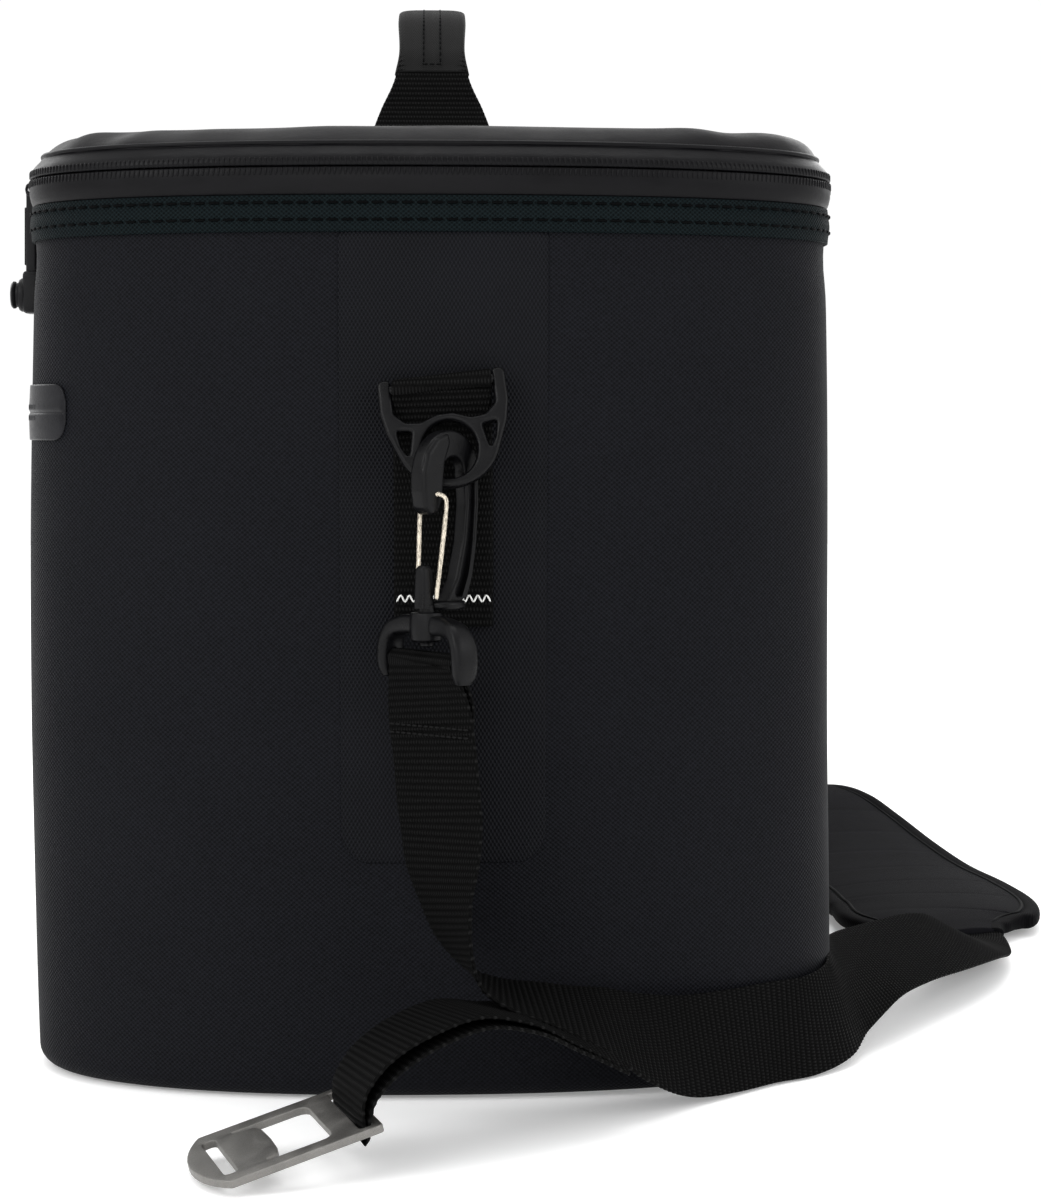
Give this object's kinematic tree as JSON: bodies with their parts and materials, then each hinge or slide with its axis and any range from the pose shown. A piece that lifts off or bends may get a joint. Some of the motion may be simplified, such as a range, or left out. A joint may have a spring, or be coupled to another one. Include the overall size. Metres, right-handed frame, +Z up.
{
  "type": "zip-top insulated storage bag",
  "caption": "Soft-sided insulated bag with rounded ends, hinged zip lid, webbing handle, clip-on shoulder strap with pad, and a steel opener on a webbing loop.",
  "frame": {"origin": "centre of the bag's base on the floor", "axes": "+Z up, -X towards the front with the pocket and the main slider, +X towards the lid's hinge, Y along the bag's length with the opener's end at -Y"},
  "size_m": [0.482, 0.735, 0.442],
  "materials": {
    "base_fabric": "matt coated",
    "board": "matt",
    "foam": "matt closed-cell foam",
    "liner": "satin coated",
    "wall_fabric": "matt coated weave",
    "binding": "twill tape",
    "coated_tape": "satin film",
    "coil": "satin",
    "hinge_cloth": "matt",
    "patch_fabric": "matt embossed weave",
    "pocket_cloth": "matt",
    "lid_fabric": "satin film",
    "webbing": "ribbed webbing",
    "grip_fabric": "twill",
    "slider_metal": "satin",
    "pin_steel": "satin",
    "puller_plastic": "satin",
    "hardware_plastic": "satin",
    "wire": "bright",
    "pad_fabric": "matt",
    "opener_steel": "brushed"
  },
  "bodies": {
    "root": {"base_panel": "base_fabric", "base_board": "board", "foam_base": "foam", "foam_front": "foam", "foam_back": "foam", "foam_near_end": "foam", "foam_far_end": "foam", "inner_liner": "liner", "outer_wall": "wall_fabric", "binding_tape": "binding", "lower_zip_tape": "coated_tape", "lower_coil": "coil", "hinge_strip": "hinge_cloth", "end_patch_near": "patch_fabric", "end_patch_far": "patch_fabric", "ring_tab_near": "webbing", "ring_tab_far": "webbing", "pocket_zip_strip": "coated_tape", "pocket_coil": "coil", "pocket_lining": "pocket_cloth", "strap_near_run": "webbing", "strap_far_run": "webbing", "shoulder_pad": "pad_fabric", "opener_loop": "webbing"},
    "lid": {"upper_coil": "coil", "lid_band": "coated_tape", "lid_rim": "coated_tape", "lid_top": "lid_fabric", "lid_foam": "foam", "lid_liner": "liner", "carry_handle": "webbing", "handle_grip": "grip_fabric", "handle_anchor_near": "patch_fabric", "handle_anchor_far": "patch_fabric"},
    "main_slider": {"main_slider": "slider_metal", "main_slider_pin": "pin_steel"},
    "main_puller": {"main_puller": "puller_plastic"},
    "pocket_slider": {"pocket_slider": "slider_metal", "pocket_slider_pin": "pin_steel"},
    "pocket_puller": {"pocket_puller": "puller_plastic"},
    "ring_near": {"ring_near": "hardware_plastic"},
    "strap_end_near": {"swivel_near": "hardware_plastic", "strap_end_near": "webbing"},
    "hook_near": {"hook_near": "hardware_plastic"},
    "gate_near": {"gate_near": "wire"},
    "ring_far": {"ring_far": "hardware_plastic"},
    "strap_end_far": {"swivel_far": "hardware_plastic", "strap_end_far": "webbing"},
    "hook_far": {"hook_far": "hardware_plastic"},
    "gate_far": {"gate_far": "wire"},
    "opener": {"bottle_opener": "opener_steel"},
    "adjuster": {"strap_adjuster": "hardware_plastic"}
  },
  "joints": [
    {"name": "lid_hinge", "type": "hinge", "parent": "root", "child": "lid", "pos_m": [0.1617, 0, 0.35015], "axis": [0, 1, 0], "range_deg": [0, 110]},
    {"name": "main_slider_travel", "type": "slide", "parent": "root", "child": "main_slider", "axis": [0, 1, 0], "range_m": [-0.03, 0.265]},
    {"name": "main_puller_flip", "type": "hinge", "parent": "main_slider", "child": "main_puller", "pos_m": [-0.1658, -0.12, 0.35015], "axis": [0, 1, 0], "range_deg": [0, 110]},
    {"name": "pocket_slider_travel", "type": "slide", "parent": "root", "child": "pocket_slider", "axis": [0, -1, 0], "range_m": [0, 0.3]},
    {"name": "pocket_puller_flip", "type": "hinge", "parent": "pocket_slider", "child": "pocket_puller", "pos_m": [-0.1657, 0.15, 0.258], "axis": [0, 1, 0], "range_deg": [0, 110]},
    {"name": "ring_near_swing", "type": "hinge", "parent": "root", "child": "ring_near", "pos_m": [0.0035, -0.2372, 0.268], "axis": [-0.9925, 0, -0.1219], "range_deg": [0, 25]},
    {"name": "strap_end_near_swing", "type": "hinge", "parent": "root", "child": "strap_end_near", "pos_m": [0.0035, -0.2372, 0.268], "axis": [-0.9925, 0, -0.1219], "range_deg": [0, 25]},
    {"name": "hook_near_swivel", "type": "hinge", "parent": "strap_end_near", "child": "hook_near", "pos_m": [-0.002, -0.2572, 0.178], "axis": [0, 0, 1], "range_deg": [0, 8]},
    {"name": "gate_near_spring", "type": "hinge", "parent": "hook_near", "child": "gate_near", "pos_m": [-0.00129, -0.25649, 0.192], "axis": [-0.7071, 0.7071, 0], "range_deg": [0, 14], "stiffness_Nm_per_rad": 0.2},
    {"name": "ring_far_swing", "type": "hinge", "parent": "root", "child": "ring_far", "pos_m": [-0.0035, 0.2372, 0.268], "axis": [0.9925, 0, -0.1219], "range_deg": [0, 25]},
    {"name": "strap_end_far_swing", "type": "hinge", "parent": "root", "child": "strap_end_far", "pos_m": [-0.0035, 0.2372, 0.268], "axis": [0.9925, 0, -0.1219], "range_deg": [0, 25]},
    {"name": "hook_far_swivel", "type": "hinge", "parent": "strap_end_far", "child": "hook_far", "pos_m": [0.002, 0.2572, 0.178], "axis": [0, 0, 1], "range_deg": [0, 8]},
    {"name": "gate_far_spring", "type": "hinge", "parent": "hook_far", "child": "gate_far", "pos_m": [0.00129, 0.25649, 0.192], "axis": [0.7071, -0.7071, 0], "range_deg": [0, 14], "stiffness_Nm_per_rad": 0.2},
    {"name": "opener_swing", "type": "hinge", "parent": "root", "child": "opener", "pos_m": [-0.0279, -0.3113, 0.0179], "axis": [-0.3209, 0.9462, 0.0422], "range_deg": [0, 30]},
    {"name": "adjuster_travel", "type": "slide", "parent": "root", "child": "adjuster", "axis": [0.9781, 0.2079, 0], "range_m": [-0.014, 0.014]}
  ],
  "couplings": [
    {"joint": "strap_end_near_swing", "follows": "ring_near_swing", "ratio": 1},
    {"joint": "strap_end_far_swing", "follows": "ring_far_swing", "ratio": 1}
  ]
}
